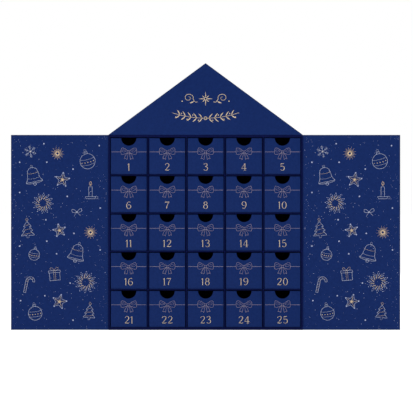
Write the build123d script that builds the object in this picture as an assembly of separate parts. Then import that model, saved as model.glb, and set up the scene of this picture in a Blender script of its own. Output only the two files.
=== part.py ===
from build123d import *
from math import atan, cos
import os

# A cardboard advent calendar: a house-shaped cabinet of glued boards, with a grid of drawers
# behind two doors. Lengths are in millimetres. The origin is the centre of the cabinet's foot
# on the table, the drawers face -Y, and +X is to the right of someone who faces them.

# Cabinet: the boards of the case below the gable, thicker on top and at the bottom than at its sides
case_width = 320
case_height = 321
case_depth = 80
case_board = 3
top_thickness = 4
bottom_thickness = 4.5

# Gable and roof: a closed, hollow loft on top of the case
gable_rise = 118
gable_board = 3
roof_board = 3

# Grid: upright dividers and shelves, slotted halfway into each other
columns = 5
rows = 5
divider_board = 2
slot_side_gap = 0.15
slot_end_gap = 0.5

# Drawers: one open tray in each cell, with a half-round finger notch
drawer_board = 1.5
drawer_side_gap = 1.0
drawer_foot_gap = 0.25
drawer_top_gap = 1.2
drawer_front_recess = 1.0
drawer_back_gap = 1.0
notch_radius = 12.4

# Doors: modelled wide open, in line with the front of the cabinet
door_board = 3
door_face_gap = 0.3
door_centre_gap = 0.8
door_foot_gap = 0.3

# Hinges: a strip of strong paper glued round the outer corner, in two leaves that meet where it bends
hinge_paper = 0.3
case_leaf_width = 18
door_leaf_width = 18

# Closing magnets: two flat blocks sunk in the free edge of each door
magnet_width = 3
magnet_thickness = 2
magnet_height = 12
magnet_gap = 0.2
magnet_end_distance = 45

# How far a cutting shape runs past what it cuts
cut_overrun = 1

# Places that follow from the sizes above
front = -case_depth / 2
rear = case_depth / 2
half_width = case_width / 2
inside_half_width = half_width - case_board
inside_bottom = bottom_thickness
inside_top = case_height - top_thickness
grid_rear = rear - case_board
grid_middle = (front + grid_rear) / 2
column_pitch = (2 * inside_half_width + divider_board) / columns
row_pitch = (inside_top - inside_bottom + divider_board) / rows
cell_width = column_pitch - divider_board
cell_height = row_pitch - divider_board
door_width = half_width - door_centre_gap / 2
door_front = front + door_face_gap
hinge_line = half_width + hinge_paper
door_hinge_edge = hinge_line + hinge_paper
door_free_edge = door_hinge_edge + door_width
lowest_corner = (Align.MIN, Align.MIN, Align.MIN)


def board(x, y, z):
    """A flat board that fills the span given along each axis."""
    spans = [sorted(span) for span in (x, y, z)]
    lengths = [high - low for low, high in spans]
    return Pos(*[low for low, high in spans]) * Box(*lengths, align=lowest_corner)


def widened(span, gap):
    """A span with a gap added at both ends."""
    return (span[0] - gap, span[1] + gap)


def divider_span(column):
    """Where the upright divider after this column lies, from left to right."""
    left = column * column_pitch - divider_board - inside_half_width
    return (left, left + divider_board)


def shelf_span(row):
    """Where the shelf above this row lies, from bottom to top, with rows counted from the bottom."""
    bottom = inside_bottom + row * row_pitch - divider_board
    return (bottom, bottom + divider_board)


def case_boards():
    """The five boards of the case: the sides run full height, and the others fit between them."""
    between_sides = (-inside_half_width, inside_half_width)
    whole_depth = (front, rear)
    whole_height = (0, case_height)
    return {
        "left_side_board": board((-half_width, -inside_half_width), whole_depth, whole_height),
        "right_side_board": board((inside_half_width, half_width), whole_depth, whole_height),
        "bottom_board": board(between_sides, whole_depth, (0, inside_bottom)),
        "top_board": board(between_sides, whole_depth, (inside_top, case_height)),
        "back_board": board(between_sides, (grid_rear, rear), (inside_bottom, inside_top)),
    }


def upright_divider(column):
    """An upright board whose front edge is unbroken, slotted from the rear for the shelves."""
    divider = board(divider_span(column), (front, grid_rear), (inside_bottom, inside_top))
    slot_depth = (grid_middle - slot_end_gap, grid_rear + cut_overrun)
    for row in range(1, rows):
        slot_height = widened(shelf_span(row), slot_side_gap)
        divider -= board(widened(divider_span(column), cut_overrun), slot_depth, slot_height)
    return divider


def shelf(row):
    """A level board across the case, slotted from the front for the upright dividers."""
    level = board((-inside_half_width, inside_half_width), (front, grid_rear), shelf_span(row))
    slot_depth = (front - cut_overrun, grid_middle + slot_end_gap)
    for column in range(1, columns):
        slot_width = widened(divider_span(column), slot_side_gap)
        level -= board(slot_width, slot_depth, widened(shelf_span(row), cut_overrun))
    return level


def profile_board(corners, y):
    """A board whose outline shows from the front, and which fills this span from front to rear."""
    face = make_face(Plane.XZ * Polyline(*corners, close=True))
    return Pos(0, y[0], 0) * extrude(face, y[1] - y[0], dir=(0, 1, 0))


def gable(y):
    """A triangular board that stands on the case."""
    ridge = (0, case_height + gable_rise)
    return profile_board([(-half_width, case_height), (half_width, case_height), ridge], y)


def roof(side):
    """A sloping board between the gables, mitred at the ridge and level along the eaves."""
    pitch = atan(gable_rise / half_width)
    drop_at_ridge = roof_board / cos(pitch)
    run_at_eaves = drop_at_ridge * half_width / gable_rise
    section = [
        (side * half_width, case_height),
        (0, case_height + gable_rise),
        (0, case_height + gable_rise - drop_at_ridge),
        (side * (half_width - run_at_eaves), case_height),
    ]
    return profile_board(section, (front + gable_board, rear - gable_board))


def outward(side, inner, outer):
    """A span from left to right between two distances from the middle, on one side."""
    return (side * inner, side * outer)


def magnet_spans(side, gap):
    """The spaces of one door's magnets, grown by a gap on every side but the free edge."""
    width = outward(side, door_free_edge - magnet_width - gap, door_free_edge)
    middle = door_front + door_board / 2
    thickness = widened((middle - magnet_thickness / 2, middle + magnet_thickness / 2), gap)
    low = door_foot_gap + magnet_end_distance
    high = case_height - magnet_end_distance - magnet_height
    return [(width, thickness, widened((z, z + magnet_height), gap)) for z in (low, high)]


def door(side):
    """A door board, swung wide open beside the case, with pockets for its magnets."""
    width = outward(side, door_hinge_edge, door_free_edge)
    panel = board(width, (door_front, door_front + door_board), (door_foot_gap, case_height))
    for x, y, z in magnet_spans(side, magnet_gap):
        panel -= board((x[0], x[1] + side * cut_overrun), y, z)
    return panel


def door_magnets(side):
    """The two magnets in a door's free edge."""
    return Compound([board(x, y, z) for x, y, z in magnet_spans(side, 0)])


def case_leaf(side):
    """The part of the hinge paper that is glued to the outside of the case."""
    span = outward(side, half_width, hinge_line)
    return board(span, (front, front + case_leaf_width), (door_foot_gap, case_height))


def door_leaf(side):
    """The part of the hinge paper that is glued round the door's edge and onto its outer face."""
    outer_face = door_front + door_board
    height = (door_foot_gap, case_height)
    on_edge = board(outward(side, hinge_line, door_hinge_edge), (front, outer_face), height)
    on_face = board(
        outward(side, hinge_line, door_hinge_edge + door_leaf_width),
        (outer_face, outer_face + hinge_paper),
        height,
    )
    return on_edge + on_face


def drawer(column, row):
    """A tray for the cell in this column and row, both counted from one at the top left."""
    cell_left = (column - 1) * column_pitch - inside_half_width
    cell_bottom = inside_bottom + (rows - row) * row_pitch
    width = (cell_left + drawer_side_gap, cell_left + cell_width - drawer_side_gap)
    depth = (front + drawer_front_recess, grid_rear - drawer_back_gap)
    height = (cell_bottom + drawer_foot_gap, cell_bottom + cell_height - drawer_top_gap)
    tray = board(width, depth, height)
    tray -= board(
        widened(width, -drawer_board),
        widened(depth, -drawer_board),
        (height[0] + drawer_board, height[1] + cut_overrun),
    )
    notch_centre = Pos(sum(width) / 2, depth[0] + drawer_board / 2, height[1])
    notch = Cylinder(notch_radius, drawer_board + 2 * cut_overrun)
    return tray - notch_centre * Rot(X=90) * notch


def all_nodes():
    """Every piece of the calendar under its own name."""
    nodes = case_boards()
    for column in range(1, columns):
        nodes[f"divider_{column}"] = upright_divider(column)
    for row in range(1, rows):
        nodes[f"shelf_{row}"] = shelf(row)
    nodes["gable_front_board"] = gable((front, front + gable_board))
    nodes["gable_back_board"] = gable((rear - gable_board, rear))
    for name, side in (("left", -1), ("right", 1)):
        nodes[f"roof_board_{name}"] = roof(side)
        nodes[f"{name}_door_board"] = door(side)
        nodes[f"{name}_door_magnets"] = door_magnets(side)
        nodes[f"{name}_hinge_case_leaf"] = case_leaf(side)
        nodes[f"{name}_hinge_door_leaf"] = door_leaf(side)
    for row in range(1, rows + 1):
        for column in range(1, columns + 1):
            number = (row - 1) * columns + column
            nodes[f"drawer_{number:02d}"] = drawer(column, row)
    return nodes


os.makedirs("parts", exist_ok=True)
for name, shape in all_nodes().items():
    shape.label = name
    export_step(shape, f"parts/{name}.step")
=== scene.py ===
import math
import bmesh
import bpy
from mathutils import Matrix, Vector


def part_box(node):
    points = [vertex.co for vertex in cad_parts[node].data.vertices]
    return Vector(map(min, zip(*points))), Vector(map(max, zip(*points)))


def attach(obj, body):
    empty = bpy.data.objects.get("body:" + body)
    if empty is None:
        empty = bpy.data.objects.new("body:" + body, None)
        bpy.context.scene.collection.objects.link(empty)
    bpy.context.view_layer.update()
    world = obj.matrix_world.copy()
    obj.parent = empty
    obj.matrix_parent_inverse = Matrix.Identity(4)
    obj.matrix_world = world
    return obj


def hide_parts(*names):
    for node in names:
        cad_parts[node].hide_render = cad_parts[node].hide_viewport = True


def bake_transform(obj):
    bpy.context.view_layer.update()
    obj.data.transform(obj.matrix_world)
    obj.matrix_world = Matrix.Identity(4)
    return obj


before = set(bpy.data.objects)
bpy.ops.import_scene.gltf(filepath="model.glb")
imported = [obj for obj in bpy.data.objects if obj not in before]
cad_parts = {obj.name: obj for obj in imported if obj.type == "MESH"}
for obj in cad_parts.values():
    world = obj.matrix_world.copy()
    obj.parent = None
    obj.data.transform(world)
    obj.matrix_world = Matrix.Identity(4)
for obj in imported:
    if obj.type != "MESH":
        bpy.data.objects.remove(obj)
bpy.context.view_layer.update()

# The looks of a cardboard advent calendar. Everything is in metres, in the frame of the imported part.
# The drawings are written in millimetres and made metres when they are printed on their piece.
mm = 0.001

# Where the boards lie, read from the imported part
case_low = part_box("left_side_board")[0]
case_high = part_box("right_side_board")[1]
front = case_low.y
rear = case_high.y
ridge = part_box("gable_front_board")[1].z
drawer_numbers = range(1, 26)
sides = {"left": -1, "right": 1}

# Paper
edge_rounding = 0.35 * mm
drawer_edge_rounding = 0.4 * mm
tray_wall = 1.5 * mm
lining_thickness = 0.12 * mm
lining_margin = 1.6 * mm
turn_in_width = 15 * mm
turn_in_slope = 1.2 * mm
turn_in_step = 0.08 * mm
roof_paper = 0.12 * mm
fold_radius = 0.7 * mm
eaves_flap = 12 * mm
weld_distance = 0.001 * mm
flat_angle = math.radians(1)
sharp_angle = math.radians(30)

# Ink: each stroke's film is one layer higher than the one before, up to a number of layers
ink_film = 0.085 * mm
ink_layer = 0.01 * mm
ink_layers = 8
corner_rounding = 0.35 * mm

# Pens of the drawings, in millimetres
outline_pen = 0.46
fine_pen = 0.28
needle_pen = 0.42
string_pen = 0.42
ribbon_pen = 0.36
fold_pen = 0.24
thin_stroke = 0.34
thick_stroke = 0.98

# The inks, by the number that a stroke carries
line_ink = 0
gold_ink = 1
snow_ink = 2
glow_ink = 3

# The papers, by the number that a face carries
blue_face = 0
navy_face = 1
black_face = 1
core_face = 1
# The rounded edges' paper: its darker tone is painted shade, its paler broken stretches are real rubbed
# wear
painted_shade_and_rubbed_face = 2
as_beside = -1

# Most values of a noise lie between these two
noise_low = 0.3
noise_high = 0.7


# Colours and nodes


def linear(hex_colour):
    """The linear colour, with alpha, of an sRGB hex value."""
    channels = [int(hex_colour[place : place + 2], 16) / 255 for place in (1, 3, 5)]
    return [c / 12.92 if c <= 0.04045 else ((c + 0.055) / 1.055) ** 2.4 for c in channels] + [1]


def add_node(tree, kind, inputs=None, **settings):
    """A new node with these settings. Each input is given a value, or a link from a socket or from the
    first output of a node."""
    node = tree.nodes.new(kind)
    for name, value in settings.items():
        setattr(node, name, value)
    for key, value in (inputs or {}).items():
        if isinstance(value, bpy.types.Node):
            value = value.outputs[0]
        if isinstance(value, bpy.types.NodeSocket):
            tree.links.new(value, node.inputs[key])
        else:
            node.inputs[key].default_value = value
    return node


def new_material(name):
    """An empty node material, its tree, and the Object coordinates that its patterns follow."""
    material = bpy.data.materials.new(name)
    material.use_nodes = True
    tree = material.node_tree
    tree.nodes.clear()
    place = add_node(tree, "ShaderNodeTexCoord").outputs["Object"]
    return material, tree, place


def tone(tree, noise, dark, light, low=noise_low, high=noise_high):
    """A colour that goes from one sRGB value to another as the noise rises from low to high."""
    spread = add_node(tree, "ShaderNodeMapRange", {"Value": noise, "From Min": low, "From Max": high})
    inputs = {0: spread, 6: linear(dark), 7: linear(light)}
    return add_node(tree, "ShaderNodeMix", inputs, data_type="RGBA").outputs[2]


def finish_surface(tree, colour, pattern, roughness, depth, settings, under=None):
    """The material's shader: its roughness wanders between two values with a pattern, which also gives
    a relief of this depth in metres, on top of another relief where one is given."""
    limits = {"From Min": noise_low, "From Max": noise_high, "To Min": roughness[0], "To Max": roughness[1]}
    spread = add_node(tree, "ShaderNodeMapRange", {"Value": pattern, **limits})
    relief_inputs = {"Height": pattern, "Distance": depth, "Strength": 1.0}
    if under:
        relief_inputs["Normal"] = under
    relief = add_node(tree, "ShaderNodeBump", relief_inputs)
    given = {"Base Color": colour, "Roughness": spread, "Normal": relief}
    shader = add_node(tree, "ShaderNodeBsdfPrincipled", {**given, **settings})
    add_node(tree, "ShaderNodeOutputMaterial", {"Surface": shader})


def grained_material(name, grain, colours, roughness, depth, settings):
    """A material whose tone, roughness and relief all follow one grain. The grain is given by the size
    of its blotches, its detail and its distortion."""
    material, tree, place = new_material(name)
    size, detail, distortion = grain
    inputs = {"Vector": place, "Scale": 1 / size, "Detail": detail, "Distortion": distortion}
    pattern = add_node(tree, "ShaderNodeTexNoise", inputs)
    finish_surface(tree, tone(tree, pattern, *colours), pattern, roughness, depth, settings)
    return material


# Materials


def covering_paper(name, dark, light, roughness=0.55, specular=0.08):
    """Printed art paper with a matt laminate, glued over greyboard: even colour that wanders a little
    in tone, a dull sheen, the faint grain of the film and the slow unevenness of the glued board."""
    material, tree, place = new_material(name)
    mottle, grain, waves = (
        add_node(tree, "ShaderNodeTexNoise", {"Vector": place, "Scale": 1 / size, "Detail": detail})
        for size, detail in ((3.5 * mm, 3.0), (0.45 * mm, 3.0), (26 * mm, 1.0))
    )
    board = add_node(tree, "ShaderNodeBump", {"Height": waves, "Distance": 0.25 * mm, "Strength": 1.0})
    dull = (roughness - 0.05, roughness + 0.06)
    settings = {"Specular IOR Level": specular}
    finish_surface(tree, tone(tree, mottle, dark, light), grain, dull, 0.012 * mm, settings, board)
    return material


def rubbed_paper():
    """The same paper where it is drawn round an edge: darkened as painted shade, and rubbed thin in places,
    so that paler fibres show in short broken stretches."""
    material, tree, place = new_material("covering_paper_with_painted_edge_shade_and_rubs")
    rubs, fibres = (
        add_node(tree, "ShaderNodeTexNoise", {"Vector": place, "Scale": 1 / size, "Detail": 3.0})
        for size in (7 * mm, 0.5 * mm)
    )
    worn = add_node(tree, "ShaderNodeMath", {0: rubs, 1: fibres}, operation="MULTIPLY")
    # The darker colour is painted shade along the rounded edge; the paler rubs are real wear
    colour = tone(tree, worn, "#06163f", "#1d2f68", 0.32, 0.42)
    finish_surface(tree, colour, fibres, (0.6, 0.8), 0.03 * mm, {"Specular IOR Level": 0.06})
    return material


def metallic_ink(name, dark, light, metallic, roughness):
    """Screen-printed metallic ink: fine flakes that lie at odds with each other give a soft glitter
    instead of a mirror, and the film is a little uneven. The flakes are drawn coarse enough to show."""
    material, tree, place = new_material(name)
    flakes = add_node(tree, "ShaderNodeTexVoronoi", {"Vector": place, "Scale": 1 / (0.22 * mm)})
    inputs = {"Vector": place, "Scale": 1 / (1.2 * mm), "Detail": 3.0}
    film = add_node(tree, "ShaderNodeTexNoise", inputs)
    glitter = (roughness - 0.1, roughness + 0.15)
    colour = tone(tree, film, dark, light)
    finish_surface(tree, colour, flakes, glitter, 0.01 * mm, {"Metallic": metallic})
    return material


def lining_card():
    """Uncoated black card inside the drawers: deep, dry and slightly fibrous."""
    fibres = (0.8 * mm, 6.0, 1.2)
    colours = ("#0e0e13", "#18181f")
    settings = {"Specular IOR Level": 0.1}
    return grained_material("black_uncoated_card", fibres, colours, (0.85, 0.97), 0.02 * mm, settings)


def snow_print():
    """Opaque pale blue ink, matt and chalky."""
    chalk = (0.6 * mm, 3.0, 0.0)
    colours = ("#a2aacb", "#b7bfdc")
    settings = {"Specular IOR Level": 0.2}
    return grained_material("pale_blue_opaque_ink", chalk, colours, (0.6, 0.8), 0.01 * mm, settings)


def paper_core():
    """The cut edge of art paper, where its white core shows: chalky, with the grain of its fibres."""
    fibres = (0.3 * mm, 6.0, 0.0)
    colours = ("#5d6683", "#8d93a8")
    settings = {"Specular IOR Level": 0.1}
    return grained_material("cut_edge_of_art_paper", fibres, colours, (0.8, 0.95), 0.02 * mm, settings)


def nickel():
    """Nickel-plated magnets: a warm grey metal with the fine scratches of tumbling."""
    scratches = (0.3 * mm, 6.0, 0.0)
    colours = ("#a8a49c", "#c8c4ba")
    settings = {"Metallic": 1.0}
    return grained_material("tumbled_nickel_plate", scratches, colours, (0.25, 0.4), 0.005 * mm, settings)


blue_paper = covering_paper("matt_laminated_blue_paper", "#0b2359", "#0f2860")
navy_paper = covering_paper("matt_laminated_navy_paper", "#030b36", "#050e40", 0.6, 0.05)
painted_shade_and_rubbed_edge = rubbed_paper()
black_card = lining_card()
champagne_ink = metallic_ink("champagne_metallic_ink", "#a1a9c2", "#bac1d6", 0.15, 0.5)
rose_gold_ink = metallic_ink("rose_gold_metallic_ink", "#8d8395", "#a79aa6", 0.15, 0.5)
gold_metallic_ink = metallic_ink("pale_gold_metallic_ink", "#c1ae91", "#dbc8ab", 0.2, 0.45)
glow_metallic_ink = metallic_ink("warm_gold_metallic_ink", "#d4b792", "#e9cfab", 0.2, 0.4)
pale_ink = snow_print()
cut_edge = paper_core()
nickel_plate = nickel()


# Boards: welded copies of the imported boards, with their edges rounded as paper rounds them


def new_object(name, data):
    """An object for this mesh, light or camera at the origin, in the scene."""
    made = bpy.data.objects.new(name, data)
    bpy.context.scene.collection.objects.link(made)
    return made


def piece_of(shape, name):
    """A piece whose mesh is this worked shape."""
    mesh = bpy.data.meshes.new(name)
    shape.to_mesh(mesh)
    shape.free()
    return new_object(name, mesh)


def add_prism(shape, outline, y_near, y_far):
    """Adds a closed prism over an outline of (x, z) points between two places from front to rear."""
    near = [shape.verts.new((x, y_near, z)) for x, z in outline]
    far = [shape.verts.new((x, y_far, z)) for x, z in outline]
    shape.faces.new(near)
    shape.faces.new(far[::-1])
    for step in range(len(outline)):
        after = (step + 1) % len(outline)
        shape.faces.new((near[after], near[step], far[step], far[after]))


def upright_outline(low, high, margin=0):
    """The (x, z) corners of a box as seen from the front, drawn in by a margin."""
    left, right = low.x + margin, high.x - margin
    foot, head = low.z + margin, high.z - margin
    return [(left, foot), (right, foot), (right, head), (left, head)]


def made_plain(piece):
    """Turns the piece's modifiers into plain mesh."""
    evaluated = piece.evaluated_get(bpy.context.evaluated_depsgraph_get())
    mesh = bpy.data.meshes.new_from_object(evaluated)
    piece.modifiers.clear()
    piece.data = mesh
    mesh.name = piece.name


def welded_copy(node, name):
    """A copy of a CAD node as a new piece, its doubled points merged and its flat faces made whole."""
    shape = bmesh.new()
    shape.from_mesh(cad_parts[node].data)
    bmesh.ops.remove_doubles(shape, verts=shape.verts, dist=weld_distance)
    bmesh.ops.dissolve_limit(shape, angle_limit=flat_angle, verts=shape.verts, edges=shape.edges)
    return piece_of(shape, name)


def paint(piece, materials, pick):
    """Gives the piece its materials, and each face the one whose number pick(centre, normal) says."""
    for material in materials:
        piece.data.materials.append(material)
    for face in piece.data.polygons:
        face.material_index = pick(face.center, face.normal)


def round_edges(piece, radius, edge_material):
    """Rounds the piece's edges, and gives the rounded strips the material of this number."""
    piece.data.polygons.foreach_set("use_smooth", [True] * len(piece.data.polygons))
    bevel = piece.modifiers.new("rounded_edges", "BEVEL")
    bevel.width = radius
    bevel.segments = 3
    bevel.limit_method = "ANGLE"
    bevel.angle_limit = sharp_angle
    bevel.harden_normals = True
    bevel.material = edge_material


def cover_board(node, pick, edge_material=painted_shade_and_rubbed_face):
    """A board of the cabinet, in blue and navy paper with rounded edges."""
    piece = welded_copy(node, f"{node}_covered")
    paint(piece, [blue_paper, navy_paper, painted_shade_and_rubbed_edge], pick)
    # By default the rounded strips get the edge paper, darkened as painted shade and rubbed in places
    round_edges(piece, edge_rounding, edge_material)
    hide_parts(node)
    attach(piece, "cabinet")


def all_blue(centre, normal):
    """Blue paper on every face."""
    return blue_face


def all_navy(centre, normal):
    """Navy paper on every face."""
    return navy_face


def case_faces(centre, normal):
    """Blue outside, and navy on the front edges and inside."""
    outside_middle = (case_low + case_high) / 2
    faces_in = (outside_middle - centre).dot(normal) > 0
    faces_front = normal.y < -0.5
    return navy_face if faces_in or faces_front else blue_face


def sheet_faces(centre, normal):
    """Blue paper on the sheet's faces, and its white core at the cut edges."""
    return blue_face if abs(normal.y) > 0.5 else core_face


def make_cabinet():
    """The case, the grid of dividers and shelves, the gables and the roof."""
    for node in ("left_side_board", "right_side_board", "top_board", "bottom_board", "back_board"):
        cover_board(node, case_faces, as_beside)
    for number in range(1, 5):
        for kind in ("divider", "shelf"):
            cover_board(f"{kind}_{number}", all_navy, navy_face)
    for node in ("gable_front_board", "gable_back_board", "roof_board_left", "roof_board_right"):
        cover_board(node, all_blue)


def sheet_of_paper(name, outline, y, towards, body):
    """A thin sheet that lies on an upright face at y, with this outline of (x, z) points. The board's
    covering paper is turned in under its border, so that the middle lies a little lower."""
    shape = bmesh.new()
    add_prism(shape, outline, y, y + towards * lining_thickness)
    bmesh.ops.recalc_face_normals(shape, faces=shape.faces)
    shown = max(shape.faces, key=lambda side: towards * side.calc_center_median().y)
    for width, depth in ((turn_in_width - lining_margin, 0), (turn_in_slope, -turn_in_step)):
        bmesh.ops.inset_region(shape, faces=[shown], thickness=width, depth=depth, use_even_offset=True)
    piece = piece_of(shape, name)
    paint(piece, [blue_paper, cut_edge], sheet_faces)
    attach(piece, body)


def make_linings():
    """The sheet glued over the back and its gable, and the printed sheets inside the doors."""
    wall = upright_outline(case_low, case_high, lining_margin)
    peak = (0, ridge - 2 * lining_margin)
    outline = [*wall[:3], peak, wall[3]]
    sheet_of_paper("back_lining_sheet", outline, rear, 1, "cabinet")
    for side in sides:
        low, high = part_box(f"{side}_door_board")
        outline = upright_outline(low, high, lining_margin)
        sheet_of_paper(f"{side}_door_lining_sheet", outline, low.y, -1, f"{side}_door")


def with_round_folds(corners, radius, steps=4):
    """A path through corners, with each inner corner drawn round a fold of this size."""
    path = [Vector(corners[0])]
    for before, corner, after in zip(corners, corners[1:], corners[2:]):
        corner = Vector(corner)
        into = corner + (Vector(before) - corner).normalized() * radius
        out = corner + (Vector(after) - corner).normalized() * radius
        for step in range(steps + 1):
            t = step / steps
            path.append(into * (1 - t) ** 2 + corner * 2 * t * (1 - t) + out * t**2)
    path.append(Vector(corners[-1]))
    return path


def thicken(sheet, thickness, offset):
    """Gives a folded sheet its thickness: blue paper, with its white core at the cut edges."""
    wall = sheet.modifiers.new("paper_thickness", "SOLIDIFY")
    wall.thickness = thickness
    wall.offset = offset
    wall.material_offset_rim = core_face
    sheet.data.materials.append(blue_paper)
    sheet.data.materials.append(cut_edge)
    made_plain(sheet)


def make_roof_paper():
    """One sheet folded over the ridge, which covers both slopes and is turned down onto the sides as far
    forward as the hinge strips."""
    flap_end = case_high.z - eaves_flap
    corners = [
        (case_low.x, flap_end), (case_low.x, case_high.z), (0, ridge),
        (case_high.x, case_high.z), (case_high.x, flap_end),
    ]
    path = with_round_folds(corners, fold_radius)
    behind_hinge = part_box("left_hinge_case_leaf")[1].y + lining_margin
    shape = bmesh.new()
    rows = [[shape.verts.new((x, y, z)) for x, z in path] for y in (front, behind_hinge, rear)]
    for near, far in zip(rows, rows[1:]):
        for step in range(len(path) - 1):
            on_side = step in (0, len(path) - 2)
            if near is rows[0] and on_side:
                continue
            shape.faces.new((near[step], near[step + 1], far[step + 1], far[step]))
    loose = [vertex for vertex in shape.verts if not vertex.link_faces]
    bmesh.ops.delete(shape, geom=loose)
    piece = piece_of(shape, "roof_covering_paper")
    thicken(piece, roof_paper, 1)
    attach(piece, "cabinet")


def make_doors():
    """The doors: whole boards in blue paper that also covers the magnets in their free edges."""
    for side in sides:
        low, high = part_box(f"{side}_door_board")
        shape = bmesh.new()
        add_prism(shape, upright_outline(low, high), low.y, high.y)
        piece = piece_of(shape, f"{side}_door_covered")
        paint(piece, [blue_paper, navy_paper, painted_shade_and_rubbed_edge], all_blue)
        # The rounded strips get the edge paper, darkened as painted shade and rubbed in places
        round_edges(piece, edge_rounding, painted_shade_and_rubbed_face)
        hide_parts(f"{side}_door_board")
        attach(piece, f"{side}_door")
        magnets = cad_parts[f"{side}_door_magnets"]
        magnets.data.materials.clear()
        magnets.data.materials.append(nickel_plate)


def make_drawers():
    """The trays: card printed blue outside and black inside."""
    for number in drawer_numbers:
        node = f"drawer_{number:02d}"
        low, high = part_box(node)
        middle = (low + high) / 2

        def tray_faces(centre, normal):
            """Black card inside the tray, and blue outside and on its rim."""
            looks_in = Vector((middle.x - centre.x, middle.y - centre.y, 0)).dot(normal) > 0
            floor_inside = normal.z > 0.5 and centre.z < middle.z
            return black_face if looks_in or floor_inside else blue_face

        piece = welded_copy(node, f"{node}_tray_covered")
        paint(piece, [blue_paper, black_card], tray_faces)
        round_edges(piece, drawer_edge_rounding, as_beside)
        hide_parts(node)
        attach(piece, f"{node}_tray")


# Glue flaps: a folded tray is held at its corners by flaps on the insides of its front and back walls

flap_thickness = 0.35 * mm
flap_width = 12.5 * mm
flap_taper = 4 * mm
flap_clearance = 0.5 * mm


def make_glue_flaps():
    """Four tapered flaps of black card in each tray."""
    for number in drawer_numbers:
        low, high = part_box(f"drawer_{number:02d}")
        foot = low.z + tray_wall + flap_clearance
        head = high.z - flap_clearance
        front_wall = low.y + tray_wall
        back_wall = high.y - tray_wall
        shape = bmesh.new()
        for corner, inward in ((low.x + tray_wall, 1), (high.x - tray_wall, -1)):
            edge = corner + inward * flap_width
            outline = [(corner, foot), (edge, foot + flap_taper), (edge, head - flap_taper), (corner, head)]
            add_prism(shape, outline, front_wall, front_wall + flap_thickness)
            add_prism(shape, outline, back_wall - flap_thickness, back_wall)
        bmesh.ops.recalc_face_normals(shape, faces=shape.faces)
        piece = piece_of(shape, f"drawer_{number:02d}_glue_flaps")
        piece.data.materials.append(black_card)
        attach(piece, f"drawer_{number:02d}_tray")


# Hinges: one strip of paper a side, glued to the case and round the door's edge, folded where they meet

hinge_paper = 0.22 * mm
fold_steps = 6


def hinge_path(side):
    """The strip's middle line at rest, seen from above, from the case, round the fold, to the door."""
    case_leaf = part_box(f"{side}_hinge_case_leaf")
    door_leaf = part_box(f"{side}_hinge_door_leaf")
    out = sides[side]
    bend = max(abs(case_leaf[0].x), abs(case_leaf[1].x))
    reach = max(abs(door_leaf[0].x), abs(door_leaf[1].x))
    half_leaf = (bend - case_high.x) / 2
    behind_door = door_leaf[1].y - half_leaf
    path = [(bend - half_leaf, case_leaf[1].y), (bend - half_leaf, (front + case_leaf[1].y) / 2)]
    for step in range(fold_steps + 1):
        turn = math.pi * step / fold_steps
        x = bend - half_leaf * math.cos(turn)
        path.append((x, front + half_leaf * (1 - math.sin(turn))))
    path += [(bend + half_leaf, behind_door), (reach, behind_door)]
    return [(out * x, y) for x, y in path], out * bend


def make_hinges():
    """The two hinge strips, folded round the doors' edges as at rest."""
    for side in sides:
        path, bend = hinge_path(side)
        low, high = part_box(f"{side}_hinge_case_leaf")
        shape = bmesh.new()
        foot = [shape.verts.new((x, y, low.z)) for x, y in path]
        head = [shape.verts.new((x, y, high.z)) for x, y in path]
        for step in range(len(path) - 1):
            shape.faces.new((foot[step], foot[step + 1], head[step + 1], head[step]))
        piece = piece_of(shape, f"{side}_hinge_strip")
        thicken(piece, hinge_paper, 0)
        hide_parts(f"{side}_hinge_case_leaf", f"{side}_hinge_door_leaf")
        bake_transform(piece)


# Drawings: strokes of a pen. A stroke is (points, closed, ink), and a point (x, y, pen) in millimetres


def stroke(points, pen=outline_pen, closed=False, ink=line_ink):
    """A stroke through straight runs, with one width of pen."""
    return [([(x, y, pen) for x, y in points], closed, ink)]


def on_curve(p, q, r, s, t):
    """A value on the smooth path from q to r, where p comes before them and s after them."""
    bend = 2 * p - 5 * q + 4 * r - s
    twist = 3 * q - p - 3 * r + s
    return 0.5 * (2 * q + (r - p) * t + bend * t**2 + twist * t**3)


def curve(points, closed=False, ink=line_ink, steps=5):
    """A stroke that passes smoothly through points of its own width of pen each."""
    count = len(points)
    spans = count if closed else count - 1

    def at(place):
        """The point at this place, counted on past the ends."""
        return points[place % count] if closed else points[min(max(place, 0), count - 1)]

    smooth = []
    for span in range(spans):
        a, b, c, d = (at(span + shift) for shift in (-1, 0, 1, 2))
        for step in range(steps):
            t = step / steps
            smooth.append(tuple(on_curve(p, q, r, s, t) for p, q, r, s in zip(a, b, c, d)))
    if not closed:
        smooth.append(points[-1])
    return [(smooth, closed, ink)]


def arc(x, y, radius, start, end, pen=outline_pen, ink=line_ink, steps=16, squeeze=1.0):
    """Part of a circle between two angles in degrees, or of an ellipse where its height is squeezed."""
    turns = [math.radians(start + (end - start) * step / steps) for step in range(steps + 1)]
    points = [(x + radius * math.cos(t), y + radius * squeeze * math.sin(t)) for t in turns]
    whole = abs(end - start) == 360
    return stroke(points[:-1] if whole else points, pen, whole, ink)


def ring(x, y, radius, pen=outline_pen, ink=line_ink, steps=28):
    """A circle."""
    return arc(x, y, radius, 0, 360, pen, ink, steps)


def dot(x, y, radius, ink=gold_ink):
    """A filled spot: a stroke of one point, which holds the spot's radius in place of a pen."""
    return [([(x, y, radius)], False, ink)]


def with_spots_drawn(strokes):
    """The strokes, with each spot as a ring whose pen leaves only a pinhole in its middle."""
    drawn = []
    for points, closed, ink in strokes:
        if len(points) == 1:
            x, y, radius = points[0]
            pinhole = 0.06 * radius
            drawn += ring(x, y, (radius + pinhole) / 2, radius - pinhole, ink, 10)
        else:
            drawn.append((points, closed, ink))
    return drawn


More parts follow.
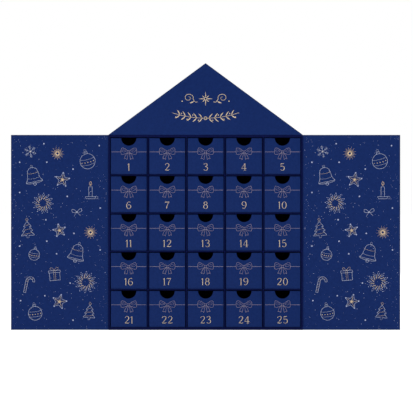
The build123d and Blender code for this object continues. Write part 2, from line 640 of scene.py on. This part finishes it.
def placed(strokes, x, y, turn=0, size=1):
    """The strokes turned by degrees, sized and moved. The pen keeps its width."""
    c, s = math.cos(math.radians(turn)) * size, math.sin(math.radians(turn)) * size
    return [
        ([(x + px * c - py * s, y + px * s + py * c, pen) for px, py, pen in points], closed, ink)
        for points, closed, ink in strokes
    ]


def mirrored(strokes):
    """The strokes and their mirror image about the upright line through the middle."""
    image = [([(-x, y, pen) for x, y, pen in points], closed, ink) for points, closed, ink in strokes]
    return strokes + image


def polar(radius, degrees):
    """A point at this distance and angle from the middle, counted from straight up."""
    return (radius * math.sin(math.radians(degrees)), radius * math.cos(math.radians(degrees)))


def star_outline(outer, inner):
    """The ten corners of a five-pointed star."""
    return [polar(outer if step % 2 == 0 else inner, 36 * step) for step in range(10)]


def rays(count, root, reaches, pens, ink):
    """Rays round the middle, of two lengths in turn, each tapered from its root to its tip."""
    drawn = []
    for step in range(count):
        angle = 360 * step / count
        tip = polar(reaches[step % 2], angle)
        drawn.append(([(*polar(root, angle), pens[0]), (*tip, pens[1])], False, ink))
    return drawn


def flame(length, width, pen, ink):
    """The outline of a flame that rises from the middle."""
    half = width / 2
    belly = [(half * 0.8, length * 0.25), (half, length * 0.5), (half * 0.6, length * 0.8)]
    outline = [(0, 0), *belly, (0, length)] + [(-x, y) for x, y in belly[::-1]]
    return stroke(outline, pen, True, ink)


def leaf(length, width, bow=0.5, ink=gold_ink):
    """A leaf filled with ink that grows up from the middle, bowed to one side."""
    belly = [(bow, length * 0.35, width), (bow, length * 0.68, width * 0.95)]
    return curve([(0, 0, 0.3), *belly, (0, length, 0.2)], ink=ink)


# Motifs: common festive ornaments, each drawn about its middle


def bauble():
    """A glass ball with a cap and ring, and a row of beads between two bowed lines."""
    radius = 12.5
    band = 4.6
    beads = 5
    drawn = ring(0, 0, radius)
    drawn += stroke([(-2.6, 12.3), (-2.6, 15.6), (2.6, 15.6), (2.6, 12.3)])
    drawn += ring(0, 17.8, 1.9, fine_pen)
    for level in (band, -band):
        reach = math.sqrt(radius**2 - level**2)
        drawn += arc(0, level, reach, 180, 360, fine_pen, squeeze=0.16)
    for step in range(beads):
        across = (2 * step / (beads - 1) - 1) * 0.78 * radius
        drop = 0.16 * math.sqrt(radius**2 - across**2)
        drawn += dot(across, -drop, 0.75)
    return drawn


def bell():
    """A hand bell with a loop, a flared rim, a band and a clapper."""
    profile = [(0, 15), (4.5, 14.2), (8.2, 10.8), (9.8, 5), (10.6, -2), (12.4, -7), (15.2, -10.6)]
    outline = profile + [(-x, y) for x, y in profile[:0:-1]]
    drawn = stroke(outline, closed=True)
    drawn += arc(0, -10.6, 15.2, 180, 360, squeeze=0.2)
    drawn += arc(0, 6.6, 9.6, 190, 350, fine_pen, gold_ink, squeeze=0.25)
    drawn += arc(0, -2.6, 10.9, 185, 355, fine_pen, squeeze=0.22)
    drawn += ring(0, -14.6, 2.6)
    drawn += ring(0, 17.2, 2.1, fine_pen)
    return drawn


def star():
    """A five-pointed star with a rib in each arm, a bright middle and a bead on each tip."""
    drawn = stroke(star_outline(13, 6), outline_pen, True)
    for step in range(5):
        arm = 72 * step
        inner_corner = arm + 36
        drawn += stroke([polar(1.5, arm), polar(9, arm)], outline_pen, ink=gold_ink)
        drawn += stroke([polar(1.5, inner_corner), polar(3.6, inner_corner)], outline_pen, ink=gold_ink)
        drawn += dot(*polar(12.2, arm), 1.1, snow_ink)
    return drawn + dot(0, 0, 1.8, glow_ink)


def wreath():
    """A hoop with leaves that lean across it, and a forked twig with a berry in each gap outside."""
    leaves = 12
    leaf_root = 5.8
    leaf_lean = 38
    twig_shift = 4
    twig_spread = 7
    drawn = ring(0, 0, 7.8, fold_pen)
    for step in range(leaves):
        angle = 360 * step / leaves
        drawn += placed(leaf(7.4, 0.7), *polar(leaf_root, angle), -angle - leaf_lean)
        twig = angle + twig_shift
        for lean in (-twig_spread, twig_spread):
            drawn += stroke([polar(10.0, twig), polar(14.6, twig + lean)], needle_pen)
        drawn += dot(*polar(16.4, twig), 0.7, snow_ink)
    return drawn


def burst():
    """Short and long rays, each tapered to a point, round a bright ring with an open middle."""
    drawn = rays(26, 3.2, (8.2, 11.6), (0.4, 0.16), glow_ink)
    return drawn + ring(0, 0, 2.9, 1.3, glow_ink, 14)


def snowflake():
    """Six arms with two pairs of side twigs each."""
    drawn = []
    for step in range(6):
        arm = stroke([(0, 0), (0, 10.5)])
        for height, reach in ((4.6, 2.6), (7.4, 2.2)):
            arm += stroke([(-reach, height + reach), (0, height), (reach, height + reach)], fine_pen)
        drawn += placed(arm, 0, 0, 60 * step)
    return drawn + dot(0, 0, 1.2)


def tied_bow():
    """A bow with two broad loops that show their insides, a knot and two tails cut to a V."""
    loop = [
        (1.4, 1.5), (4.6, 3.9), (8.0, 5.9), (11.2, 6.4), (12.7, 3.6), (12.9, -0.8), (12.0, -4.0),
        (8.4, -4.1), (4.8, -2.8), (1.4, -1.4),
    ]
    inside = [(4.0, 1.0), (7.2, 3.0), (10.2, 3.1), (11.2, 1.2), (8.6, -0.2), (6.0, 0.2)]
    tail = [(0.8, -2.0), (1.9, -7.4), (2.8, -12.9), (4.9, -10.7), (7.7, -11.6), (5.7, -6.4), (2.4, -2.2)]
    half = curve([(x, y, ribbon_pen) for x, y in loop])
    half += curve([(x, y, fold_pen) for x, y in inside], True)
    half += stroke(tail, ribbon_pen, True)
    knot = stroke([(-1.4, 1.7), (1.4, 1.7), (1.4, -1.8), (-1.4, -1.8)], ribbon_pen, True)
    return mirrored(half) + knot


def small_bow():
    """A bow with two pointed loops, a round knot and two straight tails."""
    loop = [(1.0, 0.8), (4.6, 4.4), (8.4, 4.6), (8.0, 0.4), (4.4, -0.8), (1.0, -0.7)]
    half = curve([(x, y, needle_pen) for x, y in loop])
    half += stroke([(0.9, -1.0), (5.6, -7.2)], needle_pen)
    return mirrored(half) + dot(0, 0, 1.3, line_ink)


def fir_tree():
    """Three tiers of boughs on a trunk, with a garland and a small star."""
    tiers = [(-1.9, -12.8), (-12.5, -12.8), (-5.2, -4.6), (-10.0, -4.6), (-3.4, 3.4), (-7.4, 3.4), (0, 13)]
    drawn = stroke(tiers + [(-x, y) for x, y in tiers[-2::-1]])
    drawn += stroke([(-1.9, -12.8), (-1.9, -17), (1.9, -17), (1.9, -12.8)], fine_pen)
    for low, high, reach in ((-10.6, -7.8, 9.0), (-2.8, -0.4, 6.6), (5.2, 7.2, 3.2)):
        drawn += stroke([(-reach, low), (reach, high)], fine_pen, ink=gold_ink)
    return drawn + placed(stroke(star_outline(3.6, 1.5), fine_pen, True, gold_ink), 0, 16)


def candle():
    """A lit candle in a saucer with a handle."""
    drawn = stroke([(-3, -9), (-3, 8), (3, 8), (3, -9)])
    drawn += stroke([(-3, -2), (3, 1)], fine_pen)
    drawn += stroke([(-9.4, -9), (9.4, -9), (7.2, -12.6), (-7.2, -12.6)], closed=True)
    drawn += arc(10.4, -10.4, 2.4, -120, 150, fine_pen)
    drawn += placed(flame(7.6, 4.2, outline_pen, glow_ink), 0, 9.8)
    return drawn + dot(0, 12.4, 0.8, glow_ink)


def candy_cane():
    """A striped walking-stick sweet."""
    width = 3.8
    foot = -15
    crook = 4
    crook_level = 6
    stripe_lean = 0.3

    def on_crook(radius, turn):
        """A point on the round part, at this angle from its left end."""
        return (crook - radius * math.cos(turn), crook_level + radius * math.sin(turn))

    inner = [(0, foot), (0, crook_level)]
    inner += [on_crook(crook, math.radians(angle)) for angle in range(30, 181, 30)]
    outer = [on_crook(crook + width, math.radians(angle)) for angle in range(180, -1, -30)]
    drawn = stroke(inner + outer + [(-width, foot)], closed=True)
    for level in range(-12, 6, 5):
        drawn += stroke([(-width, level), (0, level + 2.6)], fine_pen, ink=gold_ink)
    for angle in (35, 85, 135):
        turn = math.radians(angle)
        stripe = [on_crook(crook, turn), on_crook(crook + width, turn - stripe_lean)]
        drawn += stroke(stripe, fine_pen, ink=gold_ink)
    return drawn


def gift():
    """A wrapped parcel with a lid, a ribbon round it and a bow on top."""
    drawn = stroke([(-9.5, -11), (-9.5, 3), (9.5, 3), (9.5, -11)], closed=True)
    drawn += stroke([(-10.8, 3), (-10.8, 7), (10.8, 7), (10.8, 3)], closed=True)
    for edge in (-1.6, 1.6):
        drawn += stroke([(edge, -11), (edge, 7)], fine_pen, ink=gold_ink)
    for out in (-1, 1):
        loop = [(0, 7), (out * 4.6, 12.6), (out * 7.6, 10.6), (out * 4.2, 7.6)]
        drawn += curve([(x, y, fine_pen) for x, y in loop], True, gold_ink)
    return drawn


# The doors' print: each motif with its place as shares of the door's width and height, its turn and size

door_print_shares = [
    (snowflake, 0.20, 0.915, 10, 0.95),
    (burst, 0.48, 0.905, 0, 0.95),
    (bauble, 0.79, 0.865, 14, 1.0),
    (bell, 0.23, 0.790, 12, 0.92),
    (star, 0.53, 0.770, -8, 0.95),
    (candle, 0.82, 0.710, 0, 0.95),
    (wreath, 0.33, 0.650, 0, 1.0),
    (small_bow, 0.68, 0.605, 6, 0.95),
    (fir_tree, 0.17, 0.520, 4, 0.9),
    (star, 0.50, 0.510, 12, 0.85),
    (burst, 0.82, 0.500, 0, 0.95),
    (bell, 0.68, 0.395, -14, 0.92),
    (bauble, 0.24, 0.385, -10, 0.72),
    (gift, 0.45, 0.285, 5, 0.9),
    (wreath, 0.77, 0.245, 0, 1.05),
    (candy_cane, 0.17, 0.235, -12, 0.95),
    (star, 0.50, 0.145, -14, 0.95),
    (bauble, 0.25, 0.085, 8, 0.9),
    (fir_tree, 0.81, 0.095, -5, 0.8),
]
snow_dot_shares = [
    (0.09, 0.860), (0.34, 0.955), (0.91, 0.945), (0.37, 0.860), (0.64, 0.825), (0.09, 0.705),
    (0.58, 0.685), (0.92, 0.625), (0.36, 0.565), (0.65, 0.495), (0.92, 0.410), (0.37, 0.455),
    (0.09, 0.430), (0.61, 0.240), (0.35, 0.175), (0.10, 0.150), (0.64, 0.050), (0.47, 0.390),
]
snow_dot_radius = 1.25


def door_drawing(width, height):
    """The print on the inside of a door, from its lower left corner."""
    drawn = []
    for motif, across, up, turn, size in door_print_shares:
        drawn += placed(motif(), width * across, height * up, turn, size)
    for across, up in snow_dot_shares:
        drawn += dot(width * across, height * up, snow_dot_radius, snow_ink)
    return drawn


# The gable's ornament: a star between two scrolls, over a swag of leaves with berries


def scroll():
    """A curl that leaves the star to the right and winds up on itself, with a leaf at its root."""
    turns = 1.3
    steps = 14
    widest = 8.2
    taper = 6.4
    wound = []
    for step in range(steps + 1):
        part = step / steps
        angle = math.radians(200 - 360 * turns * part)
        radius = widest - taper * part
        x = 28 + radius * math.cos(angle)
        y = 15 + radius * 0.9 * math.sin(angle)
        wound.append((x, y, 0.85 - 0.4 * part))
    drawn = curve([(13, 8.6, 0.5), (16.5, 8.0, 0.75)] + wound, ink=gold_ink, steps=3)
    drawn += placed(leaf(8, 1.7), 19, 9.6, -112)
    return drawn + dot(38.5, 9.5, 1.0)


def swag():
    """The right half of the swag: a bowed stem with pairs of leaves, and a berry after each pair."""
    half_length = 55
    sag = 9
    pairs = 5
    leaf_lean = 48
    leaf_bow = 0.5
    stem = [(half_length * step / 8, sag * (step / 8) ** 2, 0.6) for step in range(9)]
    drawn = curve(stem, ink=gold_ink, steps=3)
    for pair in range(pairs):
        x = half_length * (0.10 + 0.84 * pair / pairs)
        y = sag * (x / half_length) ** 2
        slope = math.degrees(math.atan(2 * sag * x / half_length**2))
        for side in (1, -1):
            drawn += placed(leaf(9.4, 1.5, -side * leaf_bow), x, y, slope - 90 + side * leaf_lean)
        drawn += dot(x + 6.4, y + (4.6 if pair % 2 else -3.4), 1.0)
    return drawn


def gable_drawing():
    """The gable's ornament, about its middle."""
    star_level = 13.5
    swag_level = -18.5
    drawn = ring(0, 0, 2.5, 1.1, gold_ink, 14)
    drawn += rays(8, 3.6, (11.2, 7.4), (1.6, 0.3), gold_ink)
    drawn = placed(drawn, 0, star_level)
    drawn += mirrored(scroll())
    drawn += placed(mirrored(swag()), 0, swag_level)
    return drawn + placed(ring(0, 0, 2.4, 0.9, gold_ink, 14), 0, swag_level)


# Numerals: drawn on a body one unit high, with strokes that swell and thin as a broad nib makes them


def oval(x, y, across, up, stress=1.0):
    """An upright oval that is thick at its sides and thin at its top and foot."""
    turns = [2 * math.pi * step / 16 for step in range(16)]
    return [
        (x + across * math.cos(turn), y + up * math.sin(turn), stress * abs(math.cos(turn)) ** 1.3)
        for turn in turns
    ]


six_bowl = [
    (0.46, 0.86, 0.7), (0.36, 0.96, 0.3), (0.20, 0.88, 0.4), (0.08, 0.62, 0.9),
    (0.06, 0.34, 1.0), (0.14, 0.10, 0.6), (0.29, 0.03, 0.1), (0.45, 0.12, 0.6),
    (0.51, 0.31, 0.95), (0.44, 0.50, 0.5), (0.28, 0.56, 0.1), (0.13, 0.46, 0.1),
]
# Each digit's width, whether its strokes are closed, and the strokes. A point is (x, y, weight), and
# the weight is 0 where the stroke is thin and 1 where it is thick
numerals = {
    "0": (0.58, True, [oval(0.29, 0.5, 0.22, 0.46)]),
    "1": (0.30, False, [
        [(0.16, 0.06, 1.0), (0.16, 0.95, 0.9)],
        [(0.02, 0.80, 0.1), (0.09, 0.86, 0.3), (0.16, 0.95, 0.5)],
        [(0.08, 0.03, 0.0), (0.25, 0.03, 0.0)],
    ]),
    "2": (0.58, False, [
        [(0.09, 0.75, 0.8), (0.14, 0.90, 0.3), (0.30, 0.97, 0.1), (0.46, 0.89, 0.6),
         (0.48, 0.70, 1.0), (0.38, 0.48, 0.8), (0.21, 0.25, 0.3), (0.07, 0.06, 0.1)],
        [(0.07, 0.06, 0.2), (0.24, 0.08, 0.9), (0.40, 0.05, 0.7), (0.53, 0.16, 0.1)],
    ]),
    "3": (0.56, False, [
        [(0.09, 0.82, 0.7), (0.16, 0.93, 0.2), (0.29, 0.97, 0.1), (0.43, 0.88, 0.7),
         (0.43, 0.68, 0.8), (0.24, 0.54, 0.1)],
        [(0.24, 0.54, 0.1), (0.45, 0.46, 0.7), (0.50, 0.26, 1.0), (0.41, 0.08, 0.6),
         (0.24, 0.03, 0.1), (0.08, 0.16, 0.8)],
    ]),
    "4": (0.60, False, [
        [(0.39, 0.96, 0.2), (0.20, 0.62, 0.1), (0.03, 0.29, 0.1)],
        [(0.03, 0.28, 0.2), (0.58, 0.28, 0.2)],
        [(0.40, 0.96, 0.9), (0.40, 0.05, 1.0)],
        [(0.27, 0.03, 0.0), (0.53, 0.03, 0.0)],
    ]),
    "5": (0.56, False, [
        [(0.11, 0.95, 0.7), (0.30, 0.93, 0.8), (0.46, 0.98, 0.1)],
        [(0.12, 0.95, 0.1), (0.10, 0.53, 0.1)],
        [(0.10, 0.53, 0.1), (0.27, 0.61, 0.3), (0.45, 0.50, 0.8), (0.49, 0.28, 1.0),
         (0.39, 0.08, 0.6), (0.22, 0.03, 0.1), (0.08, 0.15, 0.8)],
    ]),
    "6": (0.58, False, [six_bowl]),
    "7": (0.56, False, [
        [(0.05, 0.82, 0.1), (0.10, 0.93, 0.7), (0.28, 0.91, 0.9), (0.51, 0.96, 0.1)],
        [(0.51, 0.96, 0.1), (0.35, 0.64, 0.4), (0.25, 0.34, 0.9), (0.22, 0.05, 1.0)],
    ]),
    "8": (0.58, True, [oval(0.29, 0.76, 0.17, 0.20, 0.8), oval(0.29, 0.29, 0.21, 0.26)]),
    "9": (0.58, False, [[(0.58 - x, 1 - y, weight) for x, y, weight in six_bowl]]),
}
numeral_height = 12.2
numeral_stretch = 1.22
numeral_gap = 0.09
numeral_foot = 5.95
ribbon_level = 36.8
bow_reach = 12.9


def number_drawing(number):
    """A drawer's number, centred on the upright line through zero and standing on zero."""
    digits = [numerals[digit] for digit in str(number)]
    total = sum(width for width, closed, strokes in digits) + numeral_gap * (len(digits) - 1)
    left = -total / 2
    drawn = []
    for width, closed, strokes in digits:
        for points in strokes:
            real = []
            for x, y, weight in points:
                pen = thin_stroke + (thick_stroke - thin_stroke) * weight
                real.append(((left + x) * numeral_stretch * numeral_height, y * numeral_height, pen))
            drawn += curve(real, closed, gold_ink)
        left += width + numeral_gap
    return drawn


def drawer_drawing(number, width):
    """The print on a drawer's front, from the middle of its foot: ribbon, bow and number."""
    half = width / 2
    drawn = placed(tied_bow(), 0, ribbon_level)
    for out in (-1, 1):
        drawn += stroke([(out * half, ribbon_level), (out * bow_reach, ribbon_level)], string_pen)
    return drawn + placed(number_drawing(number), 0, numeral_foot)


# Printing: a tree of geometry nodes turns strokes into a thin film of ink


def new_tree(name, sockets):
    """An empty tree of geometry nodes that is given geometry and inputs of these names and kinds."""
    tree = bpy.data.node_groups.new(name, "GeometryNodeTree")
    for socket, kind in {"Geometry": "Geometry", **sockets}.items():
        tree.interface.new_socket(name=socket, in_out="INPUT", socket_type=f"NodeSocket{kind}")
    tree.interface.new_socket(name="Geometry", in_out="OUTPUT", socket_type="NodeSocketGeometry")
    return tree, add_node(tree, "NodeGroupInput").outputs


ink_sockets = ("Line ink", "Gold ink", "Snow ink", "Glow ink")
facing_front = Matrix.Rotation(math.radians(90), 4, "X")


def printing_tree():
    """Strokes drawn as edges in the XY plane become closed films of ink, as wide as their pen and as
    thick as their own film, so that strokes that cross lie in different planes."""
    tree, given = new_tree("print_strokes", {
        "Corner rounding": "Float", "Merge distance": "Float", **dict.fromkeys(ink_sockets, "Material"),
    })
    pen, ink, film = (
        add_node(tree, "GeometryNodeInputNamedAttribute", {"Name": name}, data_type="FLOAT")
        for name in ("pen", "ink", "film")
    )
    lines = add_node(tree, "GeometryNodeMeshToCurve", {"Mesh": given["Geometry"]})
    rounded = add_node(
        tree, "GeometryNodeFilletCurve",
        {"Curve": lines, "Count": 2, "Radius": given["Corner rounding"], "Limit Radius": True},
        mode="POLY",
    )
    nib = add_node(tree, "GeometryNodeCurvePrimitiveQuadrilateral", {"Width": 1.0, "Height": 1.0})
    band = add_node(
        tree, "GeometryNodeCurveToMesh",
        {"Curve": rounded, "Profile Curve": nib, "Scale": pen, "Fill Caps": True},
    )
    position = add_node(tree, "GeometryNodeInputPosition")
    x, y, z = add_node(tree, "ShaderNodeSeparateXYZ", {0: position}).outputs
    above = add_node(tree, "ShaderNodeMath", {0: z}, operation="SIGN")
    level = add_node(tree, "ShaderNodeMath", {0: above, 1: film}, operation="MULTIPLY")
    flat = add_node(tree, "ShaderNodeCombineXYZ", {0: x, 1: y, 2: level})
    printed = add_node(tree, "GeometryNodeSetPosition", {"Geometry": band, "Position": flat})
    merged = add_node(
        tree, "GeometryNodeMergeByDistance", {"Geometry": printed, "Distance": given["Merge distance"]}
    )
    printed = add_node(tree, "GeometryNodeRealizeInstances", {"Geometry": merged})
    for number, name in enumerate(ink_sockets):
        chosen = add_node(
            tree, "FunctionNodeCompare", {"A": ink, "B": float(number), "Epsilon": 0.5},
            data_type="FLOAT", operation="EQUAL",
        )
        printed = add_node(
            tree, "GeometryNodeSetMaterial",
            {"Geometry": printed, "Selection": chosen, "Material": given[name]},
        )
    add_node(tree, "NodeGroupOutput", {"Geometry": printed})
    return tree


def run_tree(piece, tree, values):
    """Runs a tree on the piece with named values for its inputs, and leaves its plain mesh."""
    modifier = piece.modifiers.new(tree.name, "NODES")
    modifier.node_group = tree
    for item in tree.interface.items_tree:
        if item.in_out == "INPUT" and item.name in values:
            modifier[item.identifier] = values[item.name]
    made_plain(piece)


print_strokes = printing_tree()


def stroke_mesh(name, drawing):
    """The drawing as edges, in metres, whose points carry their pen, their ink and their film."""
    points, edges, pens, ink_numbers, films = [], [], [], [], []
    for order, (stroke_points, closed, ink) in enumerate(with_spots_drawn(drawing)):
        first = len(points)
        points += [(x * mm, y * mm, 0) for x, y, pen in stroke_points]
        pens += [pen * mm for x, y, pen in stroke_points]
        ink_numbers += [float(ink)] * len(stroke_points)
        films += [ink_film + ink_layer * (order % ink_layers)] * len(stroke_points)
        edges += [(place, place + 1) for place in range(first, len(points) - 1)]
        if closed:
            edges.append((len(points) - 1, first))
    mesh = bpy.data.meshes.new(name)
    mesh.from_pydata(points, edges, [])
    for kind, values in (("pen", pens), ("ink", ink_numbers), ("film", films)):
        mesh.attributes.new(kind, "FLOAT", "POINT").data.foreach_set("value", values)
    return mesh


def print_on(name, drawing, origin, body, main_ink):
    """Prints a drawing, its plain lines in the main ink, on an upright face. The drawing's zero lies on
    the face's point of origin."""
    piece = new_object(name, stroke_mesh(name, drawing))
    values = {
        "Corner rounding": corner_rounding, "Merge distance": weld_distance,
        "Line ink": main_ink, "Gold ink": gold_metallic_ink, "Snow ink": pale_ink,
        "Glow ink": glow_metallic_ink,
    }
    run_tree(piece, print_strokes, values)
    piece.data.transform(Matrix.Translation(origin) @ facing_front)
    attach(piece, body)


gable_print_rise = 46 * mm


def make_prints():
    """The prints on the doors' linings, the gable and the drawers' fronts."""
    for side in sides:
        low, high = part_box(f"{side}_door_board")
        drawing = door_drawing((high.x - low.x) / mm, (high.z - low.z) / mm)
        origin = (low.x, low.y - lining_thickness, low.z)
        print_on(f"{side}_door_print", drawing, origin, f"{side}_door", champagne_ink)
    origin = (0, front, case_high.z + gable_print_rise)
    print_on("gable_print", gable_drawing(), origin, "cabinet", gold_metallic_ink)
    for number in drawer_numbers:
        node = f"drawer_{number:02d}"
        low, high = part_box(node)
        drawing = drawer_drawing(number, (high.x - low.x - tray_wall) / mm)
        origin = ((low.x + high.x) / 2, low.y, low.z)
        print_on(f"{node}_print", drawing, origin, f"{node}_tray", rose_gold_ink)


# Snow: specks scattered over the doors' linings by geometry nodes

speck_count = 400
speck_radius = (0.16 * mm, 0.5 * mm)
speck_corners = 7
speck_rarity = 2.5
speck_seed = 7
sheet_columns = 33
margin_drift = 2.5
drift_steepness = 8.0
bare_border = 1.5 * lining_margin


def snow_tree():
    """Flat specks of many sizes, scattered at random over a sheet in the XY plane. They lie closer
    together towards its left and right margins, and the larger ones are rare."""
    tree, given = new_tree("scatter_snow", {
        "Width": "Float", "Height": "Float", "Specks per area": "Float", "Margin drift": "Float",
        "Smallest": "Float", "Largest": "Float", "Film": "Float", "Seed": "Int", "Snow ink": "Material",
    })
    sheet = add_node(
        tree, "GeometryNodeMeshGrid",
        {"Size X": given["Width"], "Size Y": given["Height"], "Vertices X": sheet_columns, "Vertices Y": 2},
    )
    position = add_node(tree, "GeometryNodeInputPosition")
    across = add_node(tree, "ShaderNodeSeparateXYZ", {0: position}).outputs["X"]
    share = add_node(tree, "ShaderNodeMath", {0: across, 1: given["Width"]}, operation="DIVIDE")
    doubled = add_node(tree, "ShaderNodeMath", {0: share, 1: 2.0}, operation="MULTIPLY")
    near_margin = add_node(tree, "ShaderNodeMath", {0: doubled, 1: drift_steepness}, operation="POWER")
    drift_inputs = {0: near_margin, 1: given["Margin drift"], 2: 1.0}
    drift = add_node(tree, "ShaderNodeMath", drift_inputs, operation="MULTIPLY_ADD")
    density_inputs = {0: drift, 1: given["Specks per area"]}
    density = add_node(tree, "ShaderNodeMath", density_inputs, operation="MULTIPLY")
    points = add_node(
        tree, "GeometryNodeDistributePointsOnFaces",
        {"Mesh": sheet, "Density": density, "Seed": given["Seed"]},
    )
    speck = add_node(
        tree, "GeometryNodeMeshCylinder",
        {"Vertices": speck_corners, "Radius": 1.0, "Depth": 1.0}, fill_type="NGON",
    )
    chance = add_node(
        tree, "FunctionNodeRandomValue", {2: 0.0, 3: 1.0, "Seed": given["Seed"]}, data_type="FLOAT"
    ).outputs[1]
    rare = add_node(tree, "ShaderNodeMath", {0: chance, 1: speck_rarity}, operation="POWER")
    radius = add_node(
        tree, "ShaderNodeMapRange",
        {"Value": rare, "To Min": given["Smallest"], "To Max": given["Largest"]},
    )
    depth = add_node(tree, "ShaderNodeMath", {0: given["Film"], 1: 2.0}, operation="MULTIPLY")
    size = add_node(tree, "ShaderNodeCombineXYZ", {0: radius, 1: radius, 2: depth})
    specks = add_node(
        tree, "GeometryNodeInstanceOnPoints", {"Points": points, "Instance": speck, "Scale": size}
    )
    real = add_node(tree, "GeometryNodeRealizeInstances", {"Geometry": specks})
    inked = add_node(
        tree, "GeometryNodeSetMaterial", {"Geometry": real, "Material": given["Snow ink"]}
    )
    add_node(tree, "NodeGroupOutput", {"Geometry": inked})
    return tree


def make_snow():
    """The specks of snow on both doors, the same on each."""
    tree = snow_tree()
    for side in sides:
        low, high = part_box(f"{side}_door_board")
        width = high.x - low.x - 2 * bare_border
        height = high.z - low.z - 2 * bare_border
        name = f"{side}_door_snow"
        piece = new_object(name, bpy.data.meshes.new(name))
        values = {
            "Width": width, "Height": height, "Specks per area": speck_count / (width * height),
            "Margin drift": margin_drift, "Smallest": speck_radius[0], "Largest": speck_radius[1],
            "Film": ink_film, "Seed": speck_seed, "Snow ink": pale_ink,
        }
        run_tree(piece, tree, values)
        middle = ((low.x + high.x) / 2, low.y - lining_thickness, (low.z + high.z) / 2)
        piece.data.transform(Matrix.Translation(middle) @ facing_front)
        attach(piece, f"{side}_door")


# Studio: a pale floor, soft lights and the camera straight in front, as far off as a long lens needs

picture_height_in_pixels = 415
calendar_width = 0.6404
calendar_width_in_pixels = 389.3
metres_per_pixel = calendar_width / calendar_width_in_pixels
picture_middle = (0.0015, 0.2016)
lens_mm = 200
sensor_mm = 36
floor_radius = 60
floor_drop = 0.1 * mm
floor_glow = 0.8
surroundings_light = 0.3
surroundings_shown = 1.0
# Each soft light's place, size and power in watts. The two at the sides stand far enough out to keep
# their gloss off the front
soft_lights = {
    "left_light": ((-2.2, -1.9, 1.5), 1.4, 16),
    "right_light": ((2.2, -1.9, 1.5), 1.4, 16),
    "top_light": ((0, -0.4, 2.4), 1.6, 10),
    "rear_light": ((0.6, 2.6, 1.6), 1.6, 20),
}


def make_camera():
    """A level camera in front of the calendar, framed as in the photograph."""
    camera = new_object("camera", bpy.data.cameras.new("camera"))
    camera.data.lens = lens_mm
    camera.data.sensor_width = sensor_mm
    distance = picture_height_in_pixels * metres_per_pixel * lens_mm / sensor_mm
    camera.location = (picture_middle[0], front - distance, picture_middle[1])
    camera.rotation_euler = (math.radians(90), 0, 0)
    bpy.context.scene.camera = camera


def make_floor():
    """A wide, plain, pale floor. Part of its brightness is its own, so that it stays even far away."""
    shape = bmesh.new()
    bmesh.ops.create_circle(shape, cap_ends=True, segments=96, radius=floor_radius)
    bmesh.ops.translate(shape, verts=shape.verts, vec=(0, 0, -floor_drop))
    floor = piece_of(shape, "floor")
    material, tree = new_material("white_studio_floor")[:2]
    inputs = {
        "Base Color": linear("#f4f4f4"), "Roughness": 0.9, "Specular IOR Level": 0.0,
        "Emission Color": linear("#ffffff"), "Emission Strength": floor_glow,
    }
    shader = add_node(tree, "ShaderNodeBsdfPrincipled", inputs)
    add_node(tree, "ShaderNodeOutputMaterial", {"Surface": shader})
    floor.data.materials.append(material)


def make_world():
    """Even studio light. The camera sees the surroundings white."""
    world = bpy.data.worlds.new("studio")
    world.use_nodes = True
    tree = world.node_tree
    tree.nodes.clear()
    soft, white = (
        add_node(tree, "ShaderNodeBackground", {"Color": linear("#ffffff"), "Strength": strength})
        for strength in (surroundings_light, surroundings_shown)
    )
    seen = add_node(tree, "ShaderNodeLightPath").outputs["Is Camera Ray"]
    shown = add_node(tree, "ShaderNodeMixShader", {0: seen, 1: soft, 2: white})
    add_node(tree, "ShaderNodeOutputWorld", {"Surface": shown})
    bpy.context.scene.world = world
    bpy.context.scene.view_settings.view_transform = "Standard"


def make_lights():
    """The soft lights, each a square turned to the calendar's middle."""
    for name, (place, size, power) in soft_lights.items():
        light = new_object(name, bpy.data.lights.new(name, "AREA"))
        light.data.size = size
        light.data.energy = power
        light.location = place
        aim = Vector((0, 0, ridge / 2)) - Vector(place)
        light.rotation_euler = aim.to_track_quat("-Z", "Y").to_euler()


make_cabinet()
make_linings()
make_roof_paper()
make_doors()
make_drawers()
make_glue_flaps()
make_hinges()
make_prints()
make_snow()
make_camera()
make_floor()
make_world()
make_lights()
